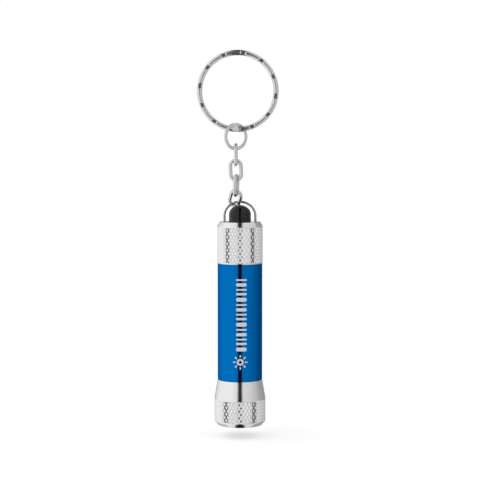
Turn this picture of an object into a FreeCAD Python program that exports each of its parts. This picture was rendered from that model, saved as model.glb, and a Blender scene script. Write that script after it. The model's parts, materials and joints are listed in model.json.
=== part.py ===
"""Keychain flashlight: key ring, chain, bail and a three-piece torch with its inner parts.

Frame: origin at the key ring's centre, +Z up, the key ring lies in the XZ plane and the torch
hangs below it, head down. Heights are kept as drops, the distance below the origin. Millimetres.
"""

import FreeCAD, Part
import math
import os
import Sketcher
from FreeCAD import Vector

os.makedirs("parts", exist_ok=True)
doc = FreeCAD.newDocument("KeychainFlashlight")

DIMENSIONS = {
    # key ring: flattened wire, two turns
    "ring_outer_radius": 12.5,
    "ring_wire_width": 1.63,
    "ring_coil_gap": 0.02,
    "ring_edge_height": 0.22,
    "ring_half_height": 0.6,
    "crossover_angle": -94.0,
    "crossover_half_span": 8.0,
    # jump ring
    "jump_radius": 3.7,
    "jump_wire_radius": 0.5,
    "jump_x": -0.62,
    "jump_drop": 13.92,
    "jump_yaw": 34.0,
    "jump_gap_angle": 2.5,
    "jump_gap_start": 20.0,
    # chain links, all alike
    "link_bend_radius": 1.615,
    "link_wire_radius": 0.575,
    "link_straight": 2.7,
    "link_joint_gap": 0.08,
    "link_joint_angle": 45.0,
    # bail
    "bail_wire_radius": 0.36,
    "bail_half_width": 4.77,
    "bail_height": 8.384,
    "bail_corner_radius": 0.5,
    "bail_reach": 6.2,
    "bail_tilt": 24.98,
    # torch axis and the heights along it
    "torch_x": 0.66,
    "rim_drop": 40.0,
    "rim_chamfer_end": 41.3,
    "pivot_drop": 41.6,
    "recess_floor_drop": 43.0,
    "web_drop": 44.2,
    "tail_seam_drop": 52.8,
    "tail_spigot_end": 58.3,
    "head_spigot_end": 83.2,
    "head_seam_drop": 88.7,
    "head_shoulder_drop": 92.2,
    "cone_end_drop": 94.4,
    "grip_end_drop": 101.6,
    "front_drop": 102.8,
    "seam_gap": 0.05,
    "edge_chamfer": 0.15,
    # radii across the torch
    "cap_radius": 7.0,
    "rim_radius": 6.35,
    "recess_radius": 5.45,
    "cap_bore_radius": 5.4,
    "button_bore_radius": 3.5,
    "pivot_hole_radius": 0.45,
    "pivot_hole_reach": 6.4,
    "barrel_radius": 6.9,
    "barrel_bore_radius": 6.1,
    "socket_radius": 6.35,
    "socket_extra_depth": 0.3,
    "spigot_radius": 6.3,
    "groove_radius": 5.75,
    "groove_setback": 0.4,
    "groove_width": 0.7,
    "seal_radius": 6.05,
    "seal_wire_radius": 0.29,
    "head_radius": 7.9,
    "front_radius": 6.85,
    "front_bore_radius": 6.6,
    "head_bore_radius": 5.5,
    # button and switch
    "button_radius": 3.38,
    "dome_height": 2.9,
    "dome_base_drop": 37.8,
    "flange_radius": 4.9,
    "flange_top_drop": 44.25,
    "flange_bottom_drop": 45.6,
    "plunger_radius": 1.25,
    "plunger_clearance": 0.03,
    "plunger_top_drop": 40.1,
    "plunger_collar_radius": 2.4,
    "plunger_collar_top": 45.75,
    "plunger_collar_bottom": 46.3,
    "plunger_tip_radius": 0.9,
    "plunger_tip_drop": 48.0,
    "switch_top_drop": 49.2,
    "switch_bottom_drop": 51.5,
    "switch_radius": 5.36,
    "rivet_radius": 0.78,
    "rivet_hole_radius": 0.8,
    "rivet_top_drop": 49.05,
    "rivet_head_radius": 1.6,
    "rivet_head_drop": 51.9,
    "retainer_bore_radius": 4.3,
    "retainer_bottom_drop": 52.3,
    # cells and springs
    "sleeve_radius": 6.05,
    "sleeve_wall": 0.2,
    "sleeve_top_drop": 60.0,
    "sleeve_bottom_drop": 82.0,
    "cell_radius": 5.8,
    "cell_cap_radius": 5.2,
    "cell_cap_height": 0.5,
    "cell_height": 5.38,
    "cell_pitch": 5.4,
    "cell_top_drop": 60.2,
    "button_spring_radius": 3.6,
    "button_spring_wire": 0.2,
    "button_spring_turns": 4.0,
    "tail_spring_radius": 2.3,
    "tail_spring_wire": 0.25,
    "tail_spring_turns": 5.0,
    "contact_spring_radius": 0.8,
    "contact_spring_wire": 0.15,
    "contact_spring_turns": 7.0,
    "spring_end_gap": 0.03,
    # lamp module and optics
    "holder_radius": 5.42,
    "holder_top_drop": 83.6,
    "holder_bottom_drop": 92.0,
    "holder_bore_radius": 1.2,
    "holder_mouth_radius": 0.7,
    "holder_mouth_depth": 0.8,
    "board_seat_drop": 90.8,
    "board_seat_radius": 4.6,
    "board_radius": 4.55,
    "board_bottom_drop": 91.8,
    "pin_top_drop": 81.85,
    "pin_radius": 0.65,
    "pin_collar_radius": 1.1,
    "pin_collar_drop": 84.5,
    "pin_bottom_drop": 85.4,
    "led_flange_radius": 2.45,
    "led_flange_drop": 92.15,
    "led_radius": 2.1,
    "led_dome_drop": 95.4,
    "reflector_radius": 6.55,
    "reflector_top_drop": 92.25,
    "reflector_bottom_drop": 100.0,
    "reflector_throat_radius": 2.6,
    "reflector_throat_drop": 92.8,
    "reflector_mouth_radius": 6.1,
    "gasket_bore_radius": 5.9,
    "gasket_top_drop": 100.03,
    "gasket_bottom_drop": 100.45,
    "lens_radius": 6.5,
    "lens_top_drop": 100.5,
    "lens_bottom_drop": 101.5,
    "retaining_top_drop": 101.55,
    "retaining_bottom_drop": 102.5,
    "retaining_radius": 6.57,
    "retaining_bore_radius": 5.9,
}

# where each link's middle sits, and its turn as yaw, pitch and roll
LINK_PLACES = {
    "link_1": {"x": -0.62, "y": 0.0, "drop": 19.454, "yaw": 90.0, "pitch": 0.0, "roll": 0.0},
    "link_2": {"x": -0.626, "y": 0.087, "drop": 24.192, "yaw": -0.03, "pitch": -2.9, "roll": 0.52},
    "link_3": {"x": -0.512, "y": 0.292, "drop": 28.906, "yaw": -103.97, "pitch": 0.18, "roll": -2.55},
    "link_4": {"x": -0.806, "y": 2.296, "drop": 32.903, "yaw": -14.56, "pitch": 27.01, "roll": 33.05},
}
for link_name, place in LINK_PLACES.items():
    for key, value in place.items():
        DIMENSIONS[f"{link_name}_{key}"] = value

sheet = doc.addObject("Spreadsheet::Sheet", "dims")
for row, (name, value) in enumerate(DIMENSIONS.items(), start=1):
    sheet.set(f"A{row}", name)
    sheet.set(f"B{row}", str(value))
    sheet.setAlias(f"B{row}", name)


class Size:
    """A length with its value and the spreadsheet formula that gives it."""

    def __init__(self, value, formula):
        self.value = value
        self.formula = formula

    def joined(self, sign, other, value):
        text = other.formula if isinstance(other, Size) else str(other)
        return Size(value, f"({self.formula} {sign} {text})")

    def __add__(self, other):
        return self.joined("+", other, self.value + number(other))

    def __sub__(self, other):
        return self.joined("-", other, self.value - number(other))

    def __mul__(self, other):
        return self.joined("*", other, self.value * number(other))

    def __truediv__(self, other):
        return self.joined("/", other, self.value / number(other))

    def __neg__(self):
        return Size(-self.value, f"(0 - {self.formula})")


def number(size):
    return size.value if isinstance(size, Size) else size


class Sheet:
    """Reads a driving dimension by its name."""

    def __getattr__(self, name):
        return Size(DIMENSIONS[name], f"dims.{name}")


dims = Sheet()
parts = []


def bind(item, name, size):
    """Drive one property of a document object from the sheet."""
    item.setExpression(name, size.formula if isinstance(size, Size) else str(size))


def finished(item, label, on_torch_axis=False):
    """Register a sub-part under its own label, moved onto the torch axis when it belongs there."""
    item.Label = label
    if on_torch_axis:
        bind(item, "Placement.Base.x", dims.torch_x)
    parts.append(item)
    return item


def origin_plane(body, role):
    return next(item for item in body.Origin.OriginFeatures if item.Role == role)


def new_sketch(body, name, role="XZ_Plane"):
    sketch = body.newObject("Sketcher::SketchObject", name)
    sketch.AttachmentSupport = [(origin_plane(body, role), "")]
    sketch.MapMode = "FlatFace"
    return sketch


def distance(sketch, kind, first, second, size):
    """Constrain the run from one point to another, each a (geometry, end) pair."""
    index = sketch.addConstraint(Sketcher.Constraint(kind, *first, *second, number(size)))
    if isinstance(size, Size):
        sketch.setExpression(f"Constraints[{index}]", size.formula)


ORIGIN = (-1, 1)
VERTICAL_AXIS = -2


def outline(sketch, corners):
    """Closed polygon in a sketch; every corner is a (radius, drop) pair driven by the sheet."""
    points = [Vector(number(radius), -number(drop), 0) for radius, drop in corners]
    count = len(points)
    for index in range(count):
        sketch.addGeometry(Part.LineSegment(points[index], points[(index + 1) % count]), False)
    for index in range(count):
        sketch.addConstraint(Sketcher.Constraint("Coincident", index, 2, (index + 1) % count, 1))
    for index, (radius, drop) in enumerate(corners):
        if number(radius) == 0:
            sketch.addConstraint(Sketcher.Constraint("PointOnObject", index, 1, VERTICAL_AXIS))
        else:
            distance(sketch, "DistanceX", ORIGIN, (index, 1), radius)
        distance(sketch, "DistanceY", (index, 1), ORIGIN, drop)


def turned(label, corners):
    """A lathe-turned piece on the torch axis."""
    body = doc.addObject("PartDesign::Body", label + "_body")
    sketch = new_sketch(body, label + "_outline")
    outline(sketch, corners)
    turn = body.newObject("PartDesign::Revolution", label + "_turn")
    turn.Profile = sketch
    turn.ReferenceAxis = (sketch, ["V_Axis"])
    turn.Angle = 360
    return finished(body, label, on_torch_axis=True)


def ring(label, inner, outer, top, bottom):
    return turned(label, [(inner, top), (outer, top), (outer, bottom), (inner, bottom)])


def coil_spring(label, radius, wire, top, bottom, turns):
    """A compression spring whose wire runs from one end plane to the other."""
    body = doc.addObject("PartDesign::Body", label + "_body")
    sketch = new_sketch(body, label + "_wire")
    centre_drop = bottom - wire
    centre = Vector(radius.value, -centre_drop.value, 0)
    sketch.addGeometry(Part.Circle(centre, Vector(0, 0, 1), wire.value), False)
    distance(sketch, "DistanceX", ORIGIN, (0, 3), radius)
    distance(sketch, "DistanceY", (0, 3), ORIGIN, centre_drop)
    index = sketch.addConstraint(Sketcher.Constraint("Radius", 0, wire.value))
    sketch.setExpression(f"Constraints[{index}]", wire.formula)
    helix = body.newObject("PartDesign::AdditiveHelix", label + "_helix")
    helix.Profile = sketch
    helix.ReferenceAxis = (sketch, ["V_Axis"])
    helix.Mode = 1
    rise = bottom - top - wire * 2
    helix.Pitch = rise.value / turns.value
    helix.Height = rise.value
    helix.Turns = turns.value
    bind(helix, "Height", rise)
    bind(helix, "Turns", turns)
    return finished(body, label, on_torch_axis=True)


def primitive(kind, name, **sizes):
    item = doc.addObject(kind, name)
    for key, size in sizes.items():
        bind(item, key, size)
    return item


def cylinder(name, radius, top, bottom):
    item = primitive("Part::Cylinder", name, Radius=radius, Height=bottom - top)
    bind(item, "Placement.Base.z", -bottom)
    return item


def fused(name, pieces):
    item = doc.addObject("Part::MultiFuse", name)
    item.Shapes = pieces
    return item


def cut(name, base, tool):
    item = doc.addObject("Part::Cut", name)
    item.Base = base
    item.Tool = tool
    return item


# ---------------------------------------------------------------- key ring


def ring_section(angle, share):
    """Wire section of the key ring at an angle; share is 0 in the front turn and 1 in the back."""
    outer = DIMENSIONS["ring_outer_radius"]
    inner = outer - DIMENSIONS["ring_wire_width"]
    gap = DIMENSIONS["ring_coil_gap"] / 2
    edge = DIMENSIONS["ring_edge_height"]
    crown_pole = 2 * DIMENSIONS["ring_half_height"] - edge
    turn = math.radians(angle)

    def point(radius, front_y, back_y):
        depth = front_y * (1 - share) + back_y * share
        return Vector(radius * math.cos(turn), depth, radius * math.sin(turn))

    middle = (inner + outer) / 2
    front_face = [point(inner, -edge, gap), point(middle, -crown_pole, gap), point(outer, -edge, gap)]
    back_face = [point(outer, -gap, edge), point(middle, -gap, crown_pole), point(inner, -gap, edge)]
    edges = []
    for poles in (front_face, back_face):
        curve = Part.BezierCurve()
        curve.setPoles(poles)
        edges.append(curve.toShape())
    edges.insert(1, Part.makeLine(front_face[-1], back_face[0]))
    edges.append(Part.makeLine(back_face[-1], front_face[0]))
    return Part.Wire(edges)


def split_ring():
    """Two stacked turns of wire, joined where the wire crosses from the front to the back."""
    start = DIMENSIONS["crossover_angle"] + DIMENSIONS["crossover_half_span"]
    span = 2 * DIMENSIONS["crossover_half_span"]
    toward_front = Vector(0, -1, 0)
    turns = []
    for share in (0, 1):
        face = Part.Face(ring_section(start, share))
        turns.append(face.revolve(Vector(0, 0, 0), toward_front, 360 - span))
    steps = 8
    sections = []
    for step in range(steps + 1):
        part = step / steps
        share = part * part * (3 - 2 * part)
        sections.append(ring_section(start - span + part * span, share))
    crossing = Part.makeLoft(sections, True, False)
    item = doc.addObject("Part::Feature", "split_ring_wire")
    item.Shape = turns[0].fuse([crossing, turns[1]])
    return finished(item, "split_ring")


# ---------------------------------------------------------------- chain


def jump_ring():
    """A round wire ring, open by a hair where its ends meet."""
    wire = primitive("Part::Torus", "jump_wire", Radius1=dims.jump_radius, Radius2=dims.jump_wire_radius)
    bind(wire, "Angle3", Size(360.0, "360") - dims.jump_gap_angle)
    turn = "rotation(dims.jump_yaw; 0; 90) * rotation(dims.jump_gap_start; 0; 0)"
    wire.setExpression("Placement", f"placement(vector(dims.jump_x; 0; 0 - dims.jump_drop); {turn})")
    return finished(wire, "jump_ring")


def half_bend(name, side):
    """Half of a link's end: the upper (side 1) or lower (side -1) half circle in the XZ plane."""
    bend = primitive("Part::Torus", name, Radius1=dims.link_bend_radius, Radius2=dims.link_wire_radius)
    bend.Angle3 = 180
    bend.Placement.Rotation = FreeCAD.Rotation(0, 0, 90 * side)
    bind(bend, "Placement.Base.z", dims.link_straight * (0.5 * side))
    return bend


def chain_link(label):
    """One oval wire link, butt-closed part of the way round its upper left bend."""
    pieces = [half_bend(label + "_top", 1), half_bend(label + "_bottom", -1)]
    for name, side in (("left", -1), ("right", 1)):
        leg = primitive("Part::Cylinder", f"{label}_{name}", Radius=dims.link_wire_radius)
        bind(leg, "Height", dims.link_straight)
        bind(leg, "Placement.Base.x", dims.link_bend_radius * side)
        bind(leg, "Placement.Base.z", dims.link_straight / -2)
        pieces.append(leg)
    oval = fused(label + "_oval", pieces)
    slot = primitive("Part::Box", label + "_slot", Height=dims.link_joint_gap)
    slot_width = dims.link_wire_radius * 3
    bind(slot, "Length", slot_width)
    bind(slot, "Width", slot_width)
    bend_centre = "placement(vector(0; 0; dims.link_straight / 2); rotation(0; dims.link_joint_angle; 0))"
    slot_x = (-dims.link_bend_radius - slot_width / 2).formula
    corner = f"vector({slot_x}; 0 - {(slot_width / 2).formula}; 0 - dims.link_joint_gap / 2)"
    slot.setExpression("Placement", f"{bend_centre} * placement({corner}; rotation(0; 0; 0))")
    link = cut(label + "_wire", oval, slot)
    where = f"vector(dims.{label}_x; dims.{label}_y; 0 - dims.{label}_drop)"
    turn = f"rotation(dims.{label}_yaw; dims.{label}_pitch; dims.{label}_roll)"
    link.setExpression("Placement", f"placement({where}; {turn})")
    return finished(link, label)


def bail():
    """A bent wire loop: two short pins on the pivot line, two legs and a half-round crown."""
    body = doc.addObject("PartDesign::Body", "bail_body")
    path = new_sketch(body, "bail_path")
    reach = dims.bail_reach
    half = dims.bail_half_width
    corner = dims.bail_corner_radius
    leg_top = dims.bail_height - dims.bail_half_width
    x_pin = number(half + corner)
    x_leg = half.value
    z_leg = corner.value
    z_top = leg_top.value

    def arc(centre, radius, start, end):
        circle = Part.Circle(centre, Vector(0, 0, 1), radius)
        return Part.ArcOfCircle(circle, math.radians(start), math.radians(end))

    pieces = [
        Part.LineSegment(Vector(-reach.value, 0, 0), Vector(-x_pin, 0, 0)),
        arc(Vector(-x_pin, z_leg, 0), corner.value, 270, 360),
        Part.LineSegment(Vector(-x_leg, z_leg, 0), Vector(-x_leg, z_top, 0)),
        arc(Vector(0, z_top, 0), half.value, 0, 180),
        Part.LineSegment(Vector(x_leg, z_top, 0), Vector(x_leg, z_leg, 0)),
        arc(Vector(x_pin, z_leg, 0), corner.value, 180, 270),
        Part.LineSegment(Vector(x_pin, 0, 0), Vector(reach.value, 0, 0)),
    ]
    for piece in pieces:
        path.addGeometry(piece, False)
    # each pair of wire pieces meets end to end and in line
    joints = [((0, 2), (1, 1)), ((1, 2), (2, 1)), ((2, 2), (3, 2))]
    joints += [((3, 1), (4, 1)), ((4, 2), (5, 1)), ((5, 2), (6, 1))]
    for first, second in joints:
        path.addConstraint(Sketcher.Constraint("Tangent", *first, *second))
    path.addConstraint(Sketcher.Constraint("PointOnObject", 0, 1, -1))
    path.addConstraint(Sketcher.Constraint("PointOnObject", 6, 2, -1))
    path.addConstraint(Sketcher.Constraint("Horizontal", 0))
    path.addConstraint(Sketcher.Constraint("PointOnObject", 3, 3, VERTICAL_AXIS))
    path.addConstraint(Sketcher.Constraint("Equal", 1, 5))
    distance(path, "DistanceX", (0, 1), ORIGIN, reach)
    distance(path, "DistanceX", ORIGIN, (6, 2), reach)
    distance(path, "DistanceY", ORIGIN, (3, 3), leg_top)
    for index, size in ((3, half), (1, corner)):
        radius = path.addConstraint(Sketcher.Constraint("Radius", index, size.value))
        path.setExpression(f"Constraints[{radius}]", size.formula)

    section = new_sketch(body, "bail_section", "YZ_Plane")
    bind(section, "AttachmentOffset.Base.z", -reach)
    section.addGeometry(Part.Circle(Vector(0, 0, 0), Vector(0, 0, 1), DIMENSIONS["bail_wire_radius"]), False)
    section.addConstraint(Sketcher.Constraint("Coincident", 0, 3, *ORIGIN))
    radius = section.addConstraint(Sketcher.Constraint("Radius", 0, DIMENSIONS["bail_wire_radius"]))
    section.setExpression(f"Constraints[{radius}]", dims.bail_wire_radius.formula)
    pipe = body.newObject("PartDesign::AdditivePipe", "bail_pipe")
    pipe.Profile = section
    pipe.Spine = (path, [f"Edge{index + 1}" for index in range(len(pieces))])
    where = "vector(dims.torch_x; 0; 0 - dims.pivot_drop)"
    body.setExpression("Placement", f"placement({where}; rotation(0; 0; 0 - dims.bail_tilt))")
    return finished(body, "bail")


# ---------------------------------------------------------------- tail cap and switch


def tail_cap():
    """Cap with a rear recess for the bail, a bore for the button and a threaded spigot in front."""
    groove_top = dims.tail_seam_drop + dims.groove_setback
    groove_bottom = groove_top + dims.groove_width
    body = turned("tail_cap", [
        (dims.recess_radius, dims.rim_drop),
        (dims.rim_radius, dims.rim_drop),
        (dims.cap_radius, dims.rim_chamfer_end),
        (dims.cap_radius, dims.tail_seam_drop - dims.edge_chamfer),
        (dims.cap_radius - dims.edge_chamfer, dims.tail_seam_drop),
        (dims.spigot_radius, dims.tail_seam_drop),
        (dims.spigot_radius, groove_top),
        (dims.groove_radius, groove_top),
        (dims.groove_radius, groove_bottom),
        (dims.spigot_radius, groove_bottom),
        (dims.spigot_radius, dims.tail_spigot_end),
        (dims.cap_bore_radius, dims.tail_spigot_end),
        (dims.cap_bore_radius, dims.web_drop),
        (dims.button_bore_radius, dims.web_drop),
        (dims.button_bore_radius, dims.recess_floor_drop),
        (dims.recess_radius, dims.recess_floor_drop),
    ])
    doc.recompute()
    before = body.Shape.Volume
    holes = new_sketch(body, "pivot_holes", "YZ_Plane")
    centre = Vector(0, -DIMENSIONS["pivot_drop"], 0)
    holes.addGeometry(Part.Circle(centre, Vector(0, 0, 1), DIMENSIONS["pivot_hole_radius"]), False)
    holes.addConstraint(Sketcher.Constraint("PointOnObject", 0, 3, VERTICAL_AXIS))
    distance(holes, "DistanceY", (0, 3), ORIGIN, dims.pivot_drop)
    radius = holes.addConstraint(Sketcher.Constraint("Radius", 0, DIMENSIONS["pivot_hole_radius"]))
    holes.setExpression(f"Constraints[{radius}]", dims.pivot_hole_radius.formula)
    drill = body.newObject("PartDesign::Pocket", "pivot_drilling")
    drill.Profile = holes
    drill.SideType = "Symmetric"
    bind(drill, "Length", dims.pivot_hole_reach * 2)
    doc.recompute()
    if body.Shape.Volume >= before:
        raise RuntimeError("the pivot holes cut nothing")
    return body


def push_button():
    """Domed button with a flange below the web and a blind hole for the plunger's stem."""
    dome = primitive("Part::Ellipsoid", "button_dome", Radius1=dims.dome_height)
    bind(dome, "Radius2", dims.button_radius)
    bind(dome, "Radius3", dims.button_radius)
    dome.Angle1 = 0
    dome.Angle2 = 90
    bind(dome, "Placement.Base.z", -dims.dome_base_drop)
    neck = cylinder("button_neck", dims.button_radius, dims.dome_base_drop, dims.flange_bottom_drop)
    flange = cylinder("button_flange", dims.flange_radius, dims.flange_top_drop, dims.flange_bottom_drop)
    solid = fused("button_solid", [dome, neck, flange])
    stem_top = dims.plunger_top_drop - dims.plunger_clearance
    stem_hole = cylinder("button_hole", dims.plunger_radius + dims.plunger_clearance, stem_top,
                         dims.flange_bottom_drop)
    return finished(cut("button_moulding", solid, stem_hole), "push_button", on_torch_axis=True)


def switch_parts():
    turned("switch_plunger", [
        (0, dims.plunger_top_drop),
        (dims.plunger_radius, dims.plunger_top_drop),
        (dims.plunger_radius, dims.plunger_collar_top),
        (dims.plunger_collar_radius, dims.plunger_collar_top),
        (dims.plunger_collar_radius, dims.plunger_collar_bottom),
        (dims.plunger_tip_radius, dims.plunger_collar_bottom),
        (dims.plunger_tip_radius, dims.plunger_tip_drop),
        (0, dims.plunger_tip_drop),
    ])
    turned("switch_rivet", [
        (0, dims.rivet_top_drop),
        (dims.rivet_radius, dims.rivet_top_drop),
        (dims.rivet_radius, dims.switch_bottom_drop),
        (dims.rivet_head_radius, dims.switch_bottom_drop),
        (dims.rivet_head_radius, dims.rivet_head_drop),
        (0, dims.rivet_head_drop),
    ])
    ring("switch_base", dims.rivet_hole_radius, dims.switch_radius, dims.switch_top_drop,
         dims.switch_bottom_drop)
    ring("retaining_ring", dims.retainer_bore_radius, dims.switch_radius, dims.switch_bottom_drop,
         dims.retainer_bottom_drop)
    coil_spring("button_spring", dims.button_spring_radius, dims.button_spring_wire,
                dims.flange_bottom_drop + dims.spring_end_gap,
                dims.switch_top_drop - dims.spring_end_gap, dims.button_spring_turns)
    coil_spring("tail_spring", dims.tail_spring_radius, dims.tail_spring_wire,
                dims.switch_bottom_drop + dims.spring_end_gap,
                dims.cell_top_drop - dims.spring_end_gap, dims.tail_spring_turns)


def seal(label, drop):
    item = primitive("Part::Torus", label + "_cord", Radius1=dims.seal_radius, Radius2=dims.seal_wire_radius)
    bind(item, "Placement.Base.z", -drop)
    return finished(item, label, on_torch_axis=True)


# ---------------------------------------------------------------- barrel and cells


def barrel():
    """Tube with a plain socket at each end for the threaded spigots."""
    top = dims.tail_seam_drop + dims.seam_gap
    bottom = dims.head_seam_drop - dims.seam_gap
    top_socket = dims.tail_spigot_end + dims.socket_extra_depth
    bottom_socket = dims.head_spigot_end - dims.socket_extra_depth
    face_radius = dims.barrel_radius - dims.edge_chamfer
    return turned("barrel", [
        (dims.socket_radius, top),
        (face_radius, top),
        (dims.barrel_radius, top + dims.edge_chamfer),
        (dims.barrel_radius, bottom - dims.edge_chamfer),
        (face_radius, bottom),
        (dims.socket_radius, bottom),
        (dims.socket_radius, bottom_socket),
        (dims.barrel_bore_radius, bottom_socket),
        (dims.barrel_bore_radius, top_socket),
        (dims.socket_radius, top_socket),
    ])


def cells():
    """Four button cells in a sleeve, each with a slightly narrower negative cap on top."""
    ring("battery_sleeve", dims.sleeve_radius - dims.sleeve_wall, dims.sleeve_radius,
         dims.sleeve_top_drop, dims.sleeve_bottom_drop)
    for index in range(4):
        top = dims.cell_top_drop + dims.cell_pitch * index
        shoulder = top + dims.cell_cap_height
        bottom = top + dims.cell_height
        turned(f"cell_{index + 1}", [
            (0, top),
            (dims.cell_cap_radius, top),
            (dims.cell_cap_radius, shoulder),
            (dims.cell_radius, shoulder),
            (dims.cell_radius, bottom),
            (0, bottom),
        ])


# ---------------------------------------------------------------- lamp head


def head():
    """Coned head: threaded spigot behind, stepped bore for the lamp module and the optics."""
    groove_bottom = dims.head_seam_drop - dims.groove_setback
    groove_top = groove_bottom - dims.groove_width
    return turned("head", [
        (dims.head_bore_radius, dims.head_spigot_end),
        (dims.spigot_radius, dims.head_spigot_end),
        (dims.spigot_radius, groove_top),
        (dims.groove_radius, groove_top),
        (dims.groove_radius, groove_bottom),
        (dims.spigot_radius, groove_bottom),
        (dims.spigot_radius, dims.head_seam_drop),
        (dims.barrel_radius - dims.edge_chamfer, dims.head_seam_drop),
        (dims.barrel_radius, dims.head_seam_drop + dims.edge_chamfer),
        (dims.head_radius, dims.cone_end_drop),
        (dims.head_radius, dims.grip_end_drop),
        (dims.front_radius, dims.front_drop),
        (dims.front_bore_radius, dims.front_drop),
        (dims.front_bore_radius, dims.head_shoulder_drop),
        (dims.head_bore_radius, dims.head_shoulder_drop),
    ])


def lamp_module():
    """Holder, spring-loaded rear contact, round circuit board and the lamp itself."""
    mouth = dims.holder_top_drop + dims.holder_mouth_depth
    turned("led_holder", [
        (dims.holder_mouth_radius, dims.holder_top_drop),
        (dims.holder_radius, dims.holder_top_drop),
        (dims.holder_radius, dims.holder_bottom_drop),
        (dims.board_seat_radius, dims.holder_bottom_drop),
        (dims.board_seat_radius, dims.board_seat_drop),
        (dims.holder_bore_radius, dims.board_seat_drop),
        (dims.holder_bore_radius, mouth),
        (dims.holder_mouth_radius, mouth),
    ])
    turned("contact_pin", [
        (0, dims.pin_top_drop),
        (dims.pin_radius, dims.pin_top_drop),
        (dims.pin_radius, dims.pin_collar_drop),
        (dims.pin_collar_radius, dims.pin_collar_drop),
        (dims.pin_collar_radius, dims.pin_bottom_drop),
        (0, dims.pin_bottom_drop),
    ])
    coil_spring("contact_spring", dims.contact_spring_radius, dims.contact_spring_wire,
                dims.pin_bottom_drop + dims.spring_end_gap,
                dims.board_seat_drop - dims.spring_end_gap, dims.contact_spring_turns)
    turned("led_board", [
        (0, dims.board_seat_drop),
        (dims.board_radius, dims.board_seat_drop),
        (dims.board_radius, dims.board_bottom_drop),
        (0, dims.board_bottom_drop),
    ])
    flange = cylinder("led_flange", dims.led_flange_radius, dims.board_bottom_drop, dims.led_flange_drop)
    shaft = cylinder("led_shaft", dims.led_radius, dims.board_bottom_drop, dims.led_dome_drop)
    dome = primitive("Part::Sphere", "led_dome", Radius=dims.led_radius)
    bind(dome, "Placement.Base.z", -dims.led_dome_drop)
    finished(fused("led_moulding", [flange, shaft, dome]), "led", on_torch_axis=True)


def optics():
    """Parabolic reflector, gasket, window and the ring that holds them in."""
    throat = dims.reflector_throat_radius
    mouth = dims.reflector_mouth_radius
    steps = 14
    bowl = []
    for step in range(steps + 1):
        share = step / steps
        radius = throat + (mouth - throat) * share
        # the bowl deepens with the square of its radius
        depth_share = (radius * radius - throat * throat) / (mouth * mouth - throat * throat)
        depth = dims.reflector_bottom_drop - dims.reflector_throat_drop
        bowl.append((radius, dims.reflector_throat_drop + depth * depth_share))
    turned("reflector", [
        (throat, dims.reflector_top_drop),
        (throat + 1, dims.reflector_top_drop),
        (dims.reflector_radius, dims.reflector_bottom_drop - 2),
        (dims.reflector_radius, dims.reflector_bottom_drop),
    ] + bowl[::-1])
    ring("lens_gasket", dims.gasket_bore_radius, dims.reflector_radius, dims.gasket_top_drop,
         dims.gasket_bottom_drop)
    turned("lens", [
        (0, dims.lens_top_drop),
        (dims.lens_radius, dims.lens_top_drop),
        (dims.lens_radius, dims.lens_bottom_drop),
        (0, dims.lens_bottom_drop),
    ])
    ring("lens_retainer", dims.retaining_bore_radius, dims.retaining_radius, dims.retaining_top_drop,
         dims.retaining_bottom_drop)


split_ring()
jump_ring()
for link_name in LINK_PLACES:
    chain_link(link_name)
bail()
tail_cap()
push_button()
switch_parts()
seal("tail_o_ring", dims.tail_seam_drop + dims.groove_setback + dims.groove_width / 2)
barrel()
cells()
head()
seal("head_o_ring", dims.head_seam_drop - dims.groove_setback - dims.groove_width / 2)
lamp_module()
optics()
doc.recompute()

for item in doc.Objects:
    if "Invalid" in item.State or "Error" in item.State:
        raise RuntimeError(f"{item.Name} failed: {item.State}")
for item in parts:
    if item.Shape.isNull() or not item.Shape.isValid() or not item.Shape.Solids:
        raise RuntimeError(f"{item.Label} has no valid solid")
for item in parts:
    item.Shape.exportStep(f"parts/{item.Label}.step")
    print(f"{item.Label}: {len(item.Shape.Solids)} solid, {item.Shape.Volume:.3f} mm3")
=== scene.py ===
"""Looks of the keychain flashlight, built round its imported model. Metres, in the model's own frame."""

import json
import math

import bmesh
import bpy
import numpy as np
from mathutils import Euler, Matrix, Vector


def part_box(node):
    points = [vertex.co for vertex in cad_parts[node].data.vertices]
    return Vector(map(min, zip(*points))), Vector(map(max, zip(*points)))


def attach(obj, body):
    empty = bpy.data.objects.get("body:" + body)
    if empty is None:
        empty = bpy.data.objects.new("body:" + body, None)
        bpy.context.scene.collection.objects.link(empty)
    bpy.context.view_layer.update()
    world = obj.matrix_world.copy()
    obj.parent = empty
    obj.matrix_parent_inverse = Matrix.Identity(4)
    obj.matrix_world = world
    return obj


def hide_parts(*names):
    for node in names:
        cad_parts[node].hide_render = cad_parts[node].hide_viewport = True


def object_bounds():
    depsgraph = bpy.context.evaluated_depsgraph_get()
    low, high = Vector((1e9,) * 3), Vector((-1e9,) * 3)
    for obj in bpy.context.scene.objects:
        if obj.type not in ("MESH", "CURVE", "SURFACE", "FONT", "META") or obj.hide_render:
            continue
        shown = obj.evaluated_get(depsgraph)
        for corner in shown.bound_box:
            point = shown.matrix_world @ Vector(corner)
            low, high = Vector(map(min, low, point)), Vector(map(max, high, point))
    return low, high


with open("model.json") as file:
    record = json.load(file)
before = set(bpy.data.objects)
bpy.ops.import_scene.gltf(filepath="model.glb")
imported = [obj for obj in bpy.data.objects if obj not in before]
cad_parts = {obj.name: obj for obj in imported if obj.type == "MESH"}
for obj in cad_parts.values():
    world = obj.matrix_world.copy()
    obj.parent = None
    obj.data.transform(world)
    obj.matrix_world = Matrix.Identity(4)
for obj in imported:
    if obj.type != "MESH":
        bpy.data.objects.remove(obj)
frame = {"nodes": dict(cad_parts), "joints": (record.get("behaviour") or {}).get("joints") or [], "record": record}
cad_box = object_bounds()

scene = bpy.context.scene
MM = 0.001
TURN = 2 * math.pi
CLOSE = 1e-8
JOINTS = {joint["name"]: joint for joint in frame["joints"]}
BARREL_LOW, BARREL_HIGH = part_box("barrel")
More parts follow.
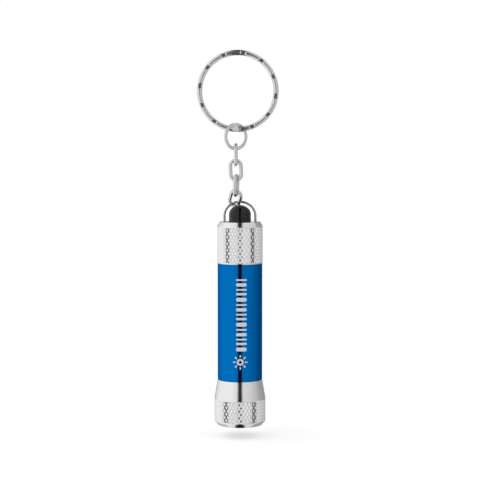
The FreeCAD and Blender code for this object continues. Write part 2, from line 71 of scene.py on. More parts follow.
AXIS_X = (BARREL_LOW.x + BARREL_HIGH.x) / 2
BARREL_RADIUS = (BARREL_HIGH.x - BARREL_LOW.x) / 2
THREAD_PITCH = 0.5 * MM

# ---------------------------------------------------------------- materials


def add_node(tree, kind, inputs, settings):
    """A node with its settings, whose inputs are values or the sockets that feed them."""
    node = tree.nodes.new(kind)
    for key, value in settings.items():
        setattr(node, key, value)
    for key, value in dict(inputs).items():
        if isinstance(value, bpy.types.NodeSocket):
            tree.links.new(value, node.inputs[key])
        else:
            node.inputs[key].default_value = value
    return node


class Surface:
    """A material whose textures read positions in millimetres."""

    def __init__(self, name, metallic=0.0, **sockets):
        self.material = bpy.data.materials.new(name)
        self.material.use_nodes = True
        self.tree = self.material.node_tree
        self.shader = self.tree.nodes["Principled BSDF"]
        self.shader.inputs["Metallic"].default_value = metallic
        for socket, value in sockets.items():
            self.shader.inputs[socket.replace("_", " ")].default_value = value

    def node(self, kind, inputs=(), **settings):
        return add_node(self.tree, kind, inputs, settings)

    def place(self, stretch=(1, 1, 1)):
        """Positions in millimetres, scaled along each axis."""
        position = self.node("ShaderNodeTexCoord").outputs["Object"]
        scale = [part / MM for part in stretch]
        return self.node("ShaderNodeMapping", {"Vector": position, "Scale": scale}).outputs["Vector"]

    def noise(self, scale, detail=3.0, stretch=(1, 1, 1)):
        inputs = {"Vector": self.place(stretch), "Scale": scale, "Detail": detail}
        return self.node("ShaderNodeTexNoise", inputs).outputs["Fac"]

    def cells(self, scale):
        inputs = {"Vector": self.place(), "Scale": scale}
        return self.node("ShaderNodeTexVoronoi", inputs).outputs["Distance"]

    def turning_marks(self, per_mm):
        """Rings round the torch's axis, as a lathe tool leaves them."""
        inputs = {"Vector": self.place(), "Scale": per_mm, "Distortion": 0.6, "Detail": 2.0}
        return self.node("ShaderNodeTexWave", inputs, bands_direction="Z").outputs["Fac"]

    def between(self, factor, low, high):
        inputs = {"Value": factor, "To Min": low, "To Max": high}
        return self.node("ShaderNodeMapRange", inputs).outputs["Result"]

    def color(self, factor, first, second):
        mix = self.node("ShaderNodeMix", data_type="RGBA")
        self.tree.links.new(factor, mix.inputs[0])
        mix.inputs[6].default_value = (*first, 1)
        mix.inputs[7].default_value = (*second, 1)
        self.tree.links.new(mix.outputs[2], self.shader.inputs["Base Color"])

    def roughness(self, factor, low, high):
        self.tree.links.new(self.between(factor, low, high), self.shader.inputs["Roughness"])

    def bump(self, *layers):
        """Relief from (height, depth in millimetres) layers, one over another."""
        normal = None
        for height, depth in layers:
            node = self.node("ShaderNodeBump", {"Height": height, "Distance": depth * MM})
            if normal:
                self.tree.links.new(normal, node.inputs["Normal"])
            normal = node.outputs["Normal"]
        self.tree.links.new(normal, self.shader.inputs["Normal"])
        return self


def plated_wire(name, dark, light, smooth, dull):
    """Nickel-plated wire: faint clouding, drawing lines and small knocks."""
    steel = Surface(name, metallic=1.0)
    steel.color(steel.noise(1.4), dark, light)
    steel.roughness(steel.noise(5.0, detail=5.0), smooth, dull)
    return steel.bump((steel.noise(9.0, detail=6.0), 0.0012), (steel.cells(2.2), 0.0015))


def bright_aluminium():
    """Clear-anodised turned aluminium: tool rings, clouded gloss."""
    metal = Surface("bright_aluminium", metallic=1.0)
    metal.color(metal.noise(0.8), (0.83, 0.83, 0.835), (0.9, 0.9, 0.9))
    metal.roughness(metal.noise(3.0, detail=5.0), 0.09, 0.17)
    return metal.bump((metal.turning_marks(7.0), 0.0005), (metal.noise(14.0), 0.0008))


def blue_anodised():
    """Dyed glossy tube: slight shifts of depth in the dye, fine rings under it."""
    metal = Surface("blue_anodised", metallic=1.0, Specular_Tint=(0.3, 0.5, 0.75, 1))
    metal.color(metal.noise(0.35, stretch=(1, 1, 0.4)), (0.0, 0.155, 0.5), (0.001, 0.172, 0.55))
    metal.roughness(metal.noise(4.0, detail=5.0), 0.07, 0.12)
    return metal.bump((metal.turning_marks(6.0), 0.0003))


def moulded(name, dark, light, smooth, dull, grain, index=1.5):
    """A moulded polymer with a fine spark-eroded grain."""
    plastic = Surface(name, IOR=index)
    plastic.color(plastic.noise(1.1), dark, light)
    plastic.roughness(plastic.noise(6.0, detail=5.0), smooth, dull)
    return plastic.bump((plastic.noise(16.0, detail=6.0), grain), (plastic.cells(9.0), grain / 2))


def contact_metal(name, dark, light, smooth, dull):
    """Drawn, stamped or turned contact metal with handling marks."""
    metal = Surface(name, metallic=1.0)
    metal.color(metal.noise(2.0, detail=4.0), dark, light)
    metal.roughness(metal.noise(7.0, stretch=(1, 1, 0.2)), smooth, dull)
    return metal.bump((metal.noise(20.0, detail=4.0), 0.0015))


def sleeve_card():
    """Wound insulating card: a soft fibre pattern round the tube."""
    card = Surface("sleeve_card")
    card.color(card.noise(3.0, detail=6.0), (0.72, 0.70, 0.63), (0.85, 0.83, 0.77))
    card.roughness(card.noise(5.0), 0.55, 0.75)
    return card.bump((card.noise(8.0, detail=6.0, stretch=(1, 1, 4)), 0.01))


def board_laminate():
    """Green solder mask over a woven laminate."""
    board = Surface("board_laminate", Coat_Weight=0.3)
    board.color(board.cells(3.0), (0.012, 0.12, 0.045), (0.02, 0.19, 0.07))
    board.roughness(board.noise(4.0), 0.25, 0.4)
    return board.bump((board.cells(4.0), 0.01))


def led_phosphor():
    """Yellow phosphor over the lamp's chip."""
    powder = Surface("led_phosphor")
    powder.color(powder.noise(9.0, detail=6.0), (0.86, 0.66, 0.09), (0.95, 0.8, 0.2))
    powder.roughness(powder.noise(7.0), 0.5, 0.8)
    return powder.bump((powder.noise(20.0), 0.01))


def clear(name, tint, index, cloud):
    """Clear plastic with a faint uneven polish."""
    glass = Surface(name, Transmission_Weight=1.0, IOR=index)
    glass.color(glass.noise(0.7), tint, (1.0, 1.0, 1.0))
    glass.roughness(glass.noise(5.0), 0.0, cloud)
    return glass.bump((glass.noise(1.5), 0.001))


def reflector_coat():
    """Vacuum-metallised bowl with a little orange peel."""
    mirror = Surface("reflector_coat", metallic=1.0)
    mirror.color(mirror.noise(1.2), (0.88, 0.88, 0.87), (0.93, 0.93, 0.92))
    mirror.roughness(mirror.noise(3.0), 0.03, 0.08)
    return mirror.bump((mirror.noise(2.5, detail=2.0), 0.003))


def printed_mark():
    """Pale pad-printed ink."""
    ink = Surface("printed_mark")
    ink.color(ink.noise(4.0, detail=5.0), (0.6, 0.62, 0.66), (0.72, 0.74, 0.78))
    ink.roughness(ink.noise(8.0), 0.4, 0.55)
    return ink.bump((ink.noise(18.0, detail=5.0), 0.003))


SURFACES = {
    "ring_steel": plated_wire("ring_steel", (0.66, 0.66, 0.66), (0.8, 0.8, 0.795), 0.2, 0.27),
    "chain_steel": plated_wire("chain_steel", (0.7, 0.7, 0.7), (0.84, 0.84, 0.83), 0.08, 0.2),
    # The bail is plated like the chain; this copy's darker colour is painted shade, not a different metal.
    "bail_steel_painted_shade": plated_wire("bail_steel_painted_shade", (0.42, 0.42, 0.42), (0.52, 0.52, 0.515), 0.13, 0.24),
    "bright_aluminium": bright_aluminium(),
    "blue_anodised": blue_anodised(),
    "button_rubber": moulded(
        "button_rubber", (0.003, 0.003, 0.0035), (0.006, 0.006, 0.0065), 0.1, 0.17, 0.0012, index=1.42
    ),
    "switch_plastic": moulded("switch_plastic", (0.012, 0.012, 0.012), (0.03, 0.03, 0.03), 0.35, 0.55, 0.006),
    "contact_brass": contact_metal("contact_brass", (0.72, 0.5, 0.2), (0.86, 0.68, 0.34), 0.15, 0.35),
    "spring_steel": contact_metal("spring_steel", (0.55, 0.55, 0.55), (0.72, 0.72, 0.72), 0.2, 0.4),
    "seal_rubber": moulded("seal_rubber", (0.01, 0.01, 0.01), (0.022, 0.022, 0.022), 0.35, 0.5, 0.004),
    "sleeve_card": sleeve_card(),
    "cell_steel": contact_metal("cell_steel", (0.62, 0.62, 0.62), (0.78, 0.78, 0.77), 0.15, 0.35),
    "board_laminate": board_laminate(),
    "led_epoxy": clear("led_epoxy", (0.97, 0.98, 0.96), 1.54, 0.03),
    "reflector_coat": reflector_coat(),
    "lens_clear": clear("lens_clear", (0.975, 0.985, 0.99), 1.49, 0.02),
    "led_phosphor": led_phosphor(),
    "printed_mark": printed_mark(),
}

# ---------------------------------------------------------------- mesh building

CREASE_ANGLE = math.radians(35)
FILLET_STEPS = 4
WIRE_SIDES = 28
# how much of a wire's radius is taken off the edge of its cut ends
WIRE_END_BEVEL = 0.12


def new_piece(name, points, faces, body, slot, surface=None, replaces=()):
    """An object of the model: smooth, with edges sharper than the crease angle kept crisp."""
    mesh = bpy.data.meshes.new(name)
    mesh.from_pydata([tuple(point) for point in points], [], faces)
    shape = bmesh.new()
    shape.from_mesh(mesh)
    bmesh.ops.recalc_face_normals(shape, faces=shape.faces)
    shape.to_mesh(mesh)
    shape.free()
    mesh.shade_smooth()
    mesh.set_sharp_from_angle(angle=CREASE_ANGLE)
    mesh.materials.append(SURFACES[surface or slot].material)
    piece = bpy.data.objects.new(name, mesh)
    scene.collection.objects.link(piece)
    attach(piece, body)
    if replaces:
        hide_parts(*replaces)


def rounded(corners):
    """Closed outline whose corners, each (radius, height, fillet), are rounded by their fillets."""
    points = []
    for index, (*place, fillet) in enumerate(corners):
        here = Vector(place)
        if fillet == 0:
            points.append(tuple(here))
            continue
        back = (Vector(corners[index - 1][:2]) - here).normalized()
        ahead = (Vector(corners[(index + 1) % len(corners)][:2]) - here).normalized()
        half = back.angle(ahead) / 2
        centre = here + (back + ahead).normalized() * (fillet / math.sin(half))
        start = here + back * (fillet / math.tan(half)) - centre
        end = here + ahead * (fillet / math.tan(half)) - centre
        first = math.atan2(start.y, start.x)
        sweep = (math.atan2(end.y, end.x) - first + math.pi) % TURN - math.pi
        for step in range(FILLET_STEPS + 1):
            angle = first + sweep * step / FILLET_STEPS
            points.append((centre.x + fillet * math.cos(angle), centre.y + fillet * math.sin(angle)))
    return points


def below(top, corners):
    """Corners in millimetres, each (radius, depth below top, fillet), as metres in the frame."""
    return [(radius * MM, top - depth * MM, fillet * MM) for radius, depth, fillet in corners]


class Band:
    """A stretch of a turned surface that carries relief; depth_at gives how far it is cut in."""

    def __init__(self, radius, top, bottom, depth, run_out):
        self.radius = radius
        self.top = top
        self.bottom = bottom
        self.depth = depth
        self.run_out = run_out

    def heights(self):
        count = int((self.top - self.bottom) / self.step)
        return [self.top - self.step * index for index in range(count + 1)] + [self.bottom]

    def covers(self, point):
        radius, height = point
        return abs(radius - self.radius) < CLOSE and self.bottom - CLOSE <= height <= self.top + CLOSE

    def fade(self, heights):
        """Full depth inside, and none at either end."""
        edge = np.minimum(self.top - heights, heights - self.bottom)
        return np.clip(edge / self.run_out, 0, 1)


class Knurl(Band):
    """Two crossing sets of V grooves that leave flat-topped diamonds."""

    steps_per_diamond = 12
    steps_per_half_groove = 3

    def __init__(self, radius, top, bottom, count, pitch, depth):
        super().__init__(radius, top, bottom, depth, 0.3 * MM)
        self.count = count
        self.pitch = pitch
        self.step = pitch / self.steps_per_diamond
        self.segments = count * self.steps_per_diamond

    def groove(self, phase):
        off_middle = np.abs(phase - np.round(phase))
        return np.clip(1 - off_middle * self.steps_per_diamond / self.steps_per_half_groove, 0, 1)

    def depth_at(self, angles, heights):
        around = self.count * angles / TURN
        along = (self.top - heights) / self.pitch
        deepest = np.maximum(self.groove(around + along), self.groove(around - along))
        return self.depth * deepest * self.fade(heights)

    def folds_back(self, column, row):
        """Whether a mesh square is folded along the falling set of grooves."""
        reach = self.steps_per_half_groove
        return (column + row + 1 + reach) % self.steps_per_diamond in (0, reach, 2 * reach)


class Thread(Band):
    """A fine right-hand thread with rounded crests; a negative depth cuts outwards."""

    def __init__(self, radius, top, bottom, depth):
        super().__init__(radius, top, bottom, depth, THREAD_PITCH)
        self.step = THREAD_PITCH / 8

    def depth_at(self, angles, heights):
        phase = heights / THREAD_PITCH - angles / TURN
        return self.depth * (0.5 + 0.5 * np.cos(TURN * phase)) * self.fade(heights)


def with_rows(outline, bands):
    """The outline with extra points down each band."""
    points = []
    for index, here in enumerate(outline):
        points.append(here)
        ahead = outline[(index + 1) % len(outline)]
        for band in bands:
            low, high = sorted((here[1], ahead[1]))
            if abs(here[0] - band.radius) > CLOSE or abs(ahead[0] - band.radius) > CLOSE:
                continue
            inside = [h for h in band.heights() if low + CLOSE < h < high - CLOSE]
            points += [(band.radius, h) for h in sorted(inside, reverse=here[1] > ahead[1])]
    return points


def turned(outline, segments, bands=()):
    """Points and faces of an outline turned about the torch's axis; radius 0 closes it at the axis."""
    outline = with_rows(outline, bands)
    angles = np.arange(segments) * TURN / segments
    points, rings = [], []
    for radius, height in outline:
        first = len(points)
        if radius < CLOSE:
            points.append((AXIS_X, 0.0, height))
            rings.append([first] * segments)
            continue
        radii = np.full(segments, radius)
        for band in bands:
            if band.covers((radius, height)):
                radii = radii - band.depth_at(angles, np.full(segments, height))
        across, deep = AXIS_X + radii * np.cos(angles), radii * np.sin(angles)
        points += np.stack([across, deep, np.full(segments, height)], 1).tolist()
        rings.append(list(range(first, first + segments)))
    knurls = [band for band in bands if isinstance(band, Knurl)]
    faces = []
    for index, ring in enumerate(rings):
        after = rings[(index + 1) % len(rings)]
        here, ahead = outline[index], outline[(index + 1) % len(rings)]
        knurl = next((k for k in knurls if k.covers(here) and k.covers(ahead)), None)
        row = round((knurl.top - max(here[1], ahead[1])) / knurl.step) if knurl else 0
        for column in range(segments):
            beside = (column + 1) % segments
            square = [ring[column], ring[beside], after[beside], after[column]]
            if knurl:
                a, b, c, d = square
                faces += [(a, b, d), (b, c, d)] if knurl.folds_back(column, row) else [(a, b, c), (a, c, d)]
                continue
            corners = list(dict.fromkeys(square))
            if len(corners) > 2:
                faces.append(corners)
    return points, faces


def frames_along(path, up):
    """For each point of a path, the two directions across it, carried along without twisting."""
    count = len(path)
    across = []
    side = None
    for index in range(count):
        ahead = (path[min(index + 1, count - 1)] - path[max(index - 1, 0)]).normalized()
        start = up if side is None else side
        side = (start - ahead * start.dot(ahead)).normalized()
        across.append((side, ahead.cross(side)))
    return across


def wire(path, radius, up):
    """Points and faces of a round wire along a path, its two cut ends lightly broken."""
    tip = radius * WIRE_END_BEVEL
    first, last = path[0], path[-1]
    start_way = (path[1] - first).normalized()
    end_way = (path[-2] - last).normalized()
    stations = [(first, radius - tip), (first + start_way * tip, radius)]
    stations += [(point, radius) for point in path[1:-1]]
    stations += [(last + end_way * tip, radius), (last, radius - tip)]
    across = frames_along([point for point, _ in stations], up)
    points, faces = [], []
    for (middle, thick), (side, other) in zip(stations, across):
        for step in range(WIRE_SIDES):
            angle = TURN * step / WIRE_SIDES
            points.append(middle + (side * math.cos(angle) + other * math.sin(angle)) * thick)
    for station in range(len(stations) - 1):
        for step in range(WIRE_SIDES):
            a = station * WIRE_SIDES + step
            b = station * WIRE_SIDES + (step + 1) % WIRE_SIDES
            faces.append((a, b, b + WIRE_SIDES, a + WIRE_SIDES))
    faces.append(tuple(range(WIRE_SIDES)))
    faces.append(tuple(range(len(points) - WIRE_SIDES, len(points))))
    return points, faces


def arc(centre, radius, start, end, steps):
    """Points of an arc in the XZ plane, its angles in degrees from +X towards +Z."""
    angles = [math.radians(start + (end - start) * step / steps) for step in range(steps + 1)]
    return [centre + Vector((math.cos(angle), 0, math.sin(angle))) * radius for angle in angles]


def middle_of(node):
    low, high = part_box(node)
    return (low + high) / 2


# ---------------------------------------------------------------- key ring and chain

RING_WIRE_WIDTH = 1.63 * MM
RING_EDGE_HEIGHT = 0.22 * MM
RING_COIL_GAP = 0.01 * MM
RING_CROSSING_START = -102.0
RING_CROSSING_SPAN = 16.0
# degrees between the ring's sections, length of each cut end, and how far that end is drawn in
RING_STEP = 0.5
RING_TIP = 0.4
RING_TIP_SHRINK = 0.86
CRIMP_COUNT = 12
CRIMP_ANGLE = 82.0
CRIMP_HALF_LENGTH = 4.7
CRIMP_RAMP = 1.4
CRIMP_DEPTH = 0.16 * MM


def smooth_step(value):
    value = min(max(value, 0.0), 1.0)
    return value * value * (3 - 2 * value)


def crimp_at(angle):
    """How fully the wire is pressed flat at an angle, from 0 to 1; the crossing has no crimp."""
    if (angle - RING_CROSSING_START) % 360 < RING_CROSSING_SPAN:
        return 0.0
    spacing = 360.0 / CRIMP_COUNT
    off_middle = abs((angle - CRIMP_ANGLE + spacing / 2) % spacing - spacing / 2)
    return smooth_step((CRIMP_HALF_LENGTH - off_middle) / CRIMP_RAMP)


def ring_section(angle, shift, outer, crown, shrink):
    """Wire section at an angle; shift is 0 in the front turn and 1 in the back."""
    inner = outer - RING_WIRE_WIDTH
    pole = 2 * crown - RING_EDGE_HEIGHT
    level = crown - CRIMP_DEPTH * crimp_at(angle)
    steps = 14
    section = []
    for step in range(steps + 1):
        share = step / steps
        dome = (share**2 + (1 - share) ** 2) * RING_EDGE_HEIGHT + 2 * share * (1 - share) * pole
        section.append((inner + (outer - inner) * share, min(dome, level)))
    front = [(radius, -dome * (1 - shift) + RING_COIL_GAP * shift) for radius, dome in section]
    back = [(radius, -RING_COIL_GAP * (1 - shift) + dome * shift) for radius, dome in section[::-1]]
    middle = Vector(((inner + outer) / 2, sum(depth for _, depth in front + back) / len(front + back)))
    turn = math.radians(angle)
    points = []
    for place in front + back:
        radius, depth = middle + (Vector(place) - middle) * shrink
        points.append((radius * math.cos(turn), depth, radius * math.sin(turn)))
    return points


def split_ring():
    """One wire wound twice: a front turn, the crossing, then a turn behind it."""
    outer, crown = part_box("split_ring")[1].xy
    start = RING_CROSSING_START + RING_CROSSING_SPAN
    flat_run = 360.0 - RING_CROSSING_SPAN
    total = 2 * flat_run + RING_CROSSING_SPAN
    runs = [0.0, RING_TIP, total - RING_TIP, total]
    runs += [RING_STEP * index for index in range(1, int(total / RING_STEP))]
    points = []
    for run in sorted(runs):
        shift = smooth_step((run - flat_run) / RING_CROSSING_SPAN)
        shrink = RING_TIP_SHRINK if run in (0.0, total) else 1.0
        points += ring_section(start + run, shift, outer, crown, shrink)
    sides = len(points) // len(runs)
    faces = []
    for station in range(len(runs) - 1):
        for side in range(sides):
            a = station * sides + side
            b = station * sides + (side + 1) % sides
            faces.append((a, b, b + sides, a + sides))
    faces.append(tuple(range(sides)))
    faces.append(tuple(range(len(points) - sides, len(points))))
    new_piece("split_ring_wire", points, faces, "key_ring", "ring_steel", replaces=["split_ring"])


JUMP_WIRE = 0.5 * MM
JUMP_YAW = 34.0
JUMP_GAP = (17.5, 20.0)
LINK_WIRE = 0.575 * MM
LINK_BEND = 1.615 * MM
LINK_STRAIGHT = 2.7 * MM
LINK_JOINT_ANGLE = 135.0
LINK_JOINT_HALF = 1.4
# yaw, pitch and roll of each link as it hangs, in degrees
LINK_TURNS = {
    "link_1": (90.0, 0.0, 0.0),
    "link_2": (-0.03, -2.9, 0.52),
    "link_3": (-103.97, 0.18, -2.55),
    "link_4": (-14.56, 27.01, 33.05),
}


def placed(path, middle, yaw, pitch=0.0, roll=0.0):
    turn = Euler([math.radians(angle) for angle in (roll, pitch, yaw)], "XYZ").to_matrix()
    return [middle + turn @ point for point in path], turn @ Vector((0, 1, 0))


def jump_ring():
    low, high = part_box("jump_ring")
    radius = (high.z - low.z) / 2 - JUMP_WIRE
    ring = arc(Vector(), radius, JUMP_GAP[1], JUMP_GAP[0] + 360, 96)
    path, up = placed(ring, middle_of("jump_ring"), JUMP_YAW)
    points, faces = wire(path, JUMP_WIRE, up)
    new_piece("jump_ring_wire", points, faces, "jump_ring", "chain_steel", replaces=["jump_ring"])


def chain_link(node):
    """An oval of round wire, butted part of the way round its upper left bend."""
    top = Vector((0, 0, LINK_STRAIGHT / 2))
    oval = arc(top, LINK_BEND, LINK_JOINT_ANGLE - LINK_JOINT_HALF, 0, 24)
    oval += arc(-top, LINK_BEND, 0, -180, 32)
    oval += arc(top, LINK_BEND, 180, LINK_JOINT_ANGLE + LINK_JOINT_HALF, 10)
    path, up = placed(oval, middle_of(node), *LINK_TURNS[node])
    points, faces = wire(path, LINK_WIRE, up)
    new_piece(node + "_wire", points, faces, node, "chain_steel", replaces=[node])


BAIL_WIRE = 0.36 * MM
BAIL_HALF_WIDTH = 4.77 * MM
BAIL_HEIGHT = 8.384 * MM
BAIL_CORNER = 0.5 * MM
BAIL_TILT = 24.98


def bail():
    """Bent wire loop: pins on the pivot line, legs and a half-round crown."""
    low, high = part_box("bail")
    reach = (high.x - low.x) / 2
    leg_top = BAIL_HEIGHT - BAIL_HALF_WIDTH
    corner_x = BAIL_HALF_WIDTH + BAIL_CORNER
    path = [Vector((-reach, 0, 0))]
    path += arc(Vector((-corner_x, 0, BAIL_CORNER)), BAIL_CORNER, -90, 0, 8)
    path += arc(Vector((0, 0, leg_top)), BAIL_HALF_WIDTH, 180, 0, 48)
    path += arc(Vector((corner_x, 0, BAIL_CORNER)), BAIL_CORNER, 180, 270, 8)
    path += [Vector((reach, 0, 0))]
    pivot = Vector(JOINTS["bail_pivot"]["pos_m"])
    path, up = placed(path, pivot, 0.0, roll=-BAIL_TILT)
    points, faces = wire(path, BAIL_WIRE, up)
    # the bail keeps the chain steel's slot but is drawn with the darker painted-shade copy
    new_piece("bail_wire", points, faces, "bail", "chain_steel", surface="bail_steel_painted_shade", replaces=["bail"])


# ---------------------------------------------------------------- torch outside


def tail_cap():
    low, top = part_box("tail_cap")[0].z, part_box("tail_cap")[1].z
    outline = rounded(below(top, [
        (5.45, 0, 0.12), (6.35, 0, 0.14), (7.0, 1.3, 0.12), (7.0, 12.8, 0.12),
        (6.3, 12.8, 0.04), (6.3, 13.2, 0.06), (5.75, 13.2, 0.06), (5.75, 13.9, 0.06),
        (6.3, 13.9, 0.06), (6.3, 18.3, 0.22), (5.4, 18.3, 0.1), (5.4, 4.2, 0.05),
        (3.5, 4.2, 0.05), (3.5, 3.0, 0.15), (5.45, 3.0, 0.15),
    ]))
    knurl = Knurl(7.0 * MM, top - 1.45 * MM, top - 12.6 * MM, 38, 2.0 * MM, 0.19 * MM)
    thread = Thread(6.3 * MM, top - 14.1 * MM, low + 0.3 * MM, 0.26 * MM)
    points, faces = turned(outline, knurl.segments, [knurl, thread])
    new_piece("tail_cap_turned", points, faces, "tail_cap", "bright_aluminium", replaces=["tail_cap"])


def head():
    low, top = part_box("head")[0].z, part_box("head")[1].z
    outline = rounded(below(top, [
        (5.5, 0, 0.1), (6.3, 0, 0.22), (6.3, 4.4, 0.06), (5.75, 4.4, 0.06),
        (5.75, 5.1, 0.06), (6.3, 5.1, 0.06), (6.3, 5.5, 0.04), (6.9, 5.5, 0.14),
        (7.9, 11.2, 0.3), (7.9, 18.4, 0.12), (6.85, 19.6, 0.1), (6.6, 19.6, 0.08),
        (6.6, 9.0, 0.1), (5.5, 9.0, 0.1),
    ]))
    knurl = Knurl(7.9 * MM, top - 11.35 * MM, low + 1.3 * MM, 43, 2.0 * MM, 0.19 * MM)
    thread = Thread(6.3 * MM, top - 0.3 * MM, top - 4.2 * MM, 0.26 * MM)
    points, faces = turned(outline, knurl.segments, [knurl, thread])
    new_piece("head_turned", points, faces, "head", "bright_aluminium", replaces=["head"])


def barrel():
    top, bottom = BARREL_HIGH.z, BARREL_LOW.z
    length = (top - bottom) / MM
    socket = 5.75
    outline = rounded(below(top, [
        (6.35, 0, 0.06), (BARREL_RADIUS / MM, 0, 0.15), (BARREL_RADIUS / MM, length, 0.15),
        (6.35, length, 0.06), (6.35, length - socket, 0.04), (6.1, length - socket, 0.04),
        (6.1, socket, 0.04), (6.35, socket, 0.04),
    ]))
    threads = [
        Thread(6.35 * MM, top - 0.5 * MM, top - 5.3 * MM, -0.24 * MM),
        Thread(6.35 * MM, bottom + 5.3 * MM, bottom + 0.5 * MM, -0.24 * MM),
    ]
    points, faces = turned(outline, 256, threads)
    new_piece("barrel_tube", points, faces, "barrel", "blue_anodised", replaces=["barrel"])


def push_button():
    low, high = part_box("push_button")
    flange = (high.x - low.x) / 2
    dome_height = 2.9 * MM
    neck = 3.38 * MM
    dome_base = high.z - dome_height
    steps = 28
    dome = []
    for step in range(steps + 1):
        angle = math.radians(90 * (1 - step / steps))
        dome.append((neck * math.cos(angle), dome_base + dome_height * math.sin(angle)))
    dome[0] = (0.0, high.z)
    flange_top = low.z + 1.35 * MM
    stem_hole = 1.28 * MM
    hole_end = high.z - 5.17 * MM
    skirt = rounded([
        (neck, dome_base - MM, 0), (neck, flange_top, 0.15 * MM), (flange, flange_top, 0.12 * MM),
        (flange, low.z, 0.12 * MM), (stem_hole, low.z, 0.1 * MM), (stem_hole, hole_end, 0.1 * MM),
        (0.0, hole_end, 0), (0.0, dome_base, 0),
    ])
    points, faces = turned(dome + skirt[:-1], 128)
    new_piece("push_button_dome", points, faces, "button", "button_rubber", replaces=["push_button"])


# ---------------------------------------------------------------- optics


def reflector():
    low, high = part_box("reflector")
    outside = (high.x - low.x) / 2
    throat, mouth = 2.6 * MM, 6.1 * MM
    throat_height = high.z - 0.55 * MM
    steps = 36
    bowl = []
    for step in range(steps + 1):
        radius = mouth + (throat - mouth) * step / steps
        share = (radius**2 - throat**2) / (mouth**2 - throat**2)
        bowl.append((radius, throat_height + (low.z - throat_height) * share))
    shell = [(throat, high.z), (throat + MM, high.z), (outside, low.z + 2 * MM), (outside, low.z)]
    points, faces = turned(shell + bowl, 160)
    new_piece("reflector_bowl", points, faces, "head", "reflector_coat", replaces=["reflector"])


def window():
    low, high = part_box("lens")
    radius = (high.x - low.x) / 2
    edge = 0.12 * MM
    outline = rounded([(0.0, high.z, 0), (radius, high.z, edge), (radius, low.z, edge), (0.0, low.z, 0)])
    points, faces = turned(outline, 160)
    new_piece("lens_window", points, faces, "head", "lens_clear", replaces=["lens"])


def retainer():
    low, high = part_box("lens_retainer")
    outer = (high.x - low.x) / 2
    bore = 5.9 * MM
    outline = rounded([
        (bore + 0.25 * MM, high.z, 0.05 * MM), (outer, high.z, 0.08 * MM),
        (outer, low.z, 0.1 * MM), (bore + 0.2 * MM, low.z, 0.06 * MM),
        (bore, low.z + 0.25 * MM, 0.06 * MM), (bore, high.z - 0.2 * MM, 0),
    ])
    points, faces = turned(outline, 160)
    new_piece("lens_retainer_ring", points, faces, "head", "bright_aluminium", replaces=["lens_retainer"])


def lamp():
    """Clear dome and flange round a phosphor-coated chip in a small cup."""
    low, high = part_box("led")
    flange = (high.x - low.x) / 2
    shaft = 2.1 * MM
    dome_centre = low.z + shaft
    flange_bottom = high.z - 0.35 * MM
    steps = 20
    dome = []
    for step in range(steps + 1):
        angle = math.radians(90 * step / steps)
        dome.append((shaft * math.cos(angle), dome_centre - shaft * math.sin(angle)))
    dome[-1] = (0.0, low.z)
    base = rounded([
        (0.0, high.z, 0), (flange, high.z, 0.06 * MM), (flange, flange_bottom, 0.08 * MM),
        (shaft, flange_bottom, 0),
    ])
    points, faces = turned(base + dome, 96)
    new_piece("led_dome", points, faces, "lamp_module", "led_epoxy", replaces=["led"])

    cup_top = flange_bottom - 0.3 * MM
    outline = rounded(below(cup_top, [
        (0, 0, 0), (0.9, 0, 0.08), (1.1, 0.5, 0.1), (0.95, 0.5, 0.04), (0.6, 0.2, 0.05), (0, 0.2, 0),
    ]))
    points, faces = turned(outline, 64)
    new_piece("led_cup", points, faces, "lamp_module", "reflector_coat")
    outline = rounded(below(cup_top, [(0, 0.21, 0), (0.55, 0.21, 0.03), (0.5, 0.4, 0.08), (0, 0.44, 0)]))
    points, faces = turned(outline, 48)
    new_piece("led_chip", points, faces, "lamp_module", "led_epoxy", surface="led_phosphor")


# ---------------------------------------------------------------- printed mark

INK_THICKNESS = 0.02 * MM
MARK_TOP = 4.3 * MM
MARK_WIDTH = 3.3 * MM
MARK_GAP = 0.74 * MM
MARK_BARS = [height * MM for height in (0.5, 1.0, 0.5, 0.7, 1.2)] * 3
MARK_CENTRE = 0.45 * MM
SUN_BELOW_TOP = 29.7 * MM
SUN_SHIFT = -0.35 * MM
SUN_DISC = (0.45 * MM, 1.05 * MM)
SUN_RAYS = 8
RAY_REACH = 1.85 * MM
RAY_LENGTH = 0.85 * MM
RAY_WIDTH = 0.42 * MM


def on_barrel(across, height, lift):
    """A point of the print, given along the front of the barrel, laid round its surface."""
    angle = across / BARREL_RADIUS - math.pi / 2
    radius = BARREL_RADIUS + lift
    return (AXIS_X + radius * math.cos(angle), radius * math.sin(angle), height)


def printed_patch(grid):
    """Thin closed slab of ink over a grid of (across, height) places."""
    rows, columns = len(grid), len(grid[0])
    flat = [place for row in grid for place in row]
    points = [on_barrel(*place, INK_THICKNESS) for place in flat]
    points += [on_barrel(*place, -INK_THICKNESS / 4) for place in flat]
    under = len(flat)
    faces = []
    for row in range(rows - 1):
        for column in range(columns - 1):
            a = row * columns + column
            square = (a, a + 1, a + columns + 1, a + columns)
            faces += [square, tuple(under + corner for corner in square)]
    border = list(range(columns)) + [row * columns + columns - 1 for row in range(1, rows)]
    border += [(rows - 1) * columns + column for column in range(columns - 2, -1, -1)]
    border += [row * columns for row in range(rows - 2, 0, -1)]
    for index, a in enumerate(border):
        b = border[(index + 1) % len(border)]
        faces.append((a, b, under + b, under + a))
    return points, faces


def stroke(centre, way, length, width):
    """Grid of a straight round-ended stroke of ink."""
    steps = 20
    half_width = width / 2
    across_way = Vector((-way.y, way.x))
    grid = []
    for step in range(steps + 1):
        # cosine spacing puts more points where the ends round off
        along = -length / 2 * math.cos(math.pi * step / steps)
        past = max(0.0, abs(along) - (length / 2 - half_width))
        half = max(math.sqrt(max(half_width**2 - past**2, 0.0)), half_width * 0.08)
        grid.append([tuple(centre + way * along + across_way * half * side) for side in (-1, -0.33, 0.33, 1)])
    return grid


